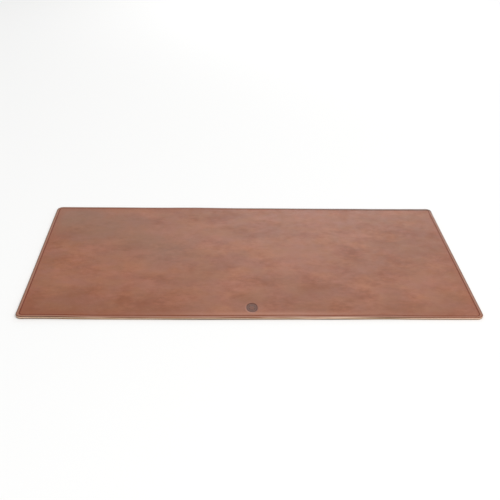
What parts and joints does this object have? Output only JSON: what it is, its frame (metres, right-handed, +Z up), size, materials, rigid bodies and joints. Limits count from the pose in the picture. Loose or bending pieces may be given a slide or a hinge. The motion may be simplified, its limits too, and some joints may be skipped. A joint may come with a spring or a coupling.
{
  "type": "desk mat",
  "caption": "Flat rectangular leather desk mat with rounded corners, a creased line parallel to the edge and a small pressed oval near the front, on a thin suede backing.",
  "frame": {"origin": "middle of the underside, on the desk", "axes": "+X along the long side, +Z up from the desk, and the front edge with the pressed oval faces -Y"},
  "size_m": [0.8, 0.4, 0.0045],
  "materials": {
    "dyed_leather": "satin, brown aniline dye with raw tan cut edge",
    "adhesive": "dried contact adhesive",
    "suede": "matt napped suede"
  },
  "bodies": {
    "root": {"top_leather": "dyed_leather", "bond_film": "adhesive", "suede_backing": "suede"}
  },
  "joints": []
}
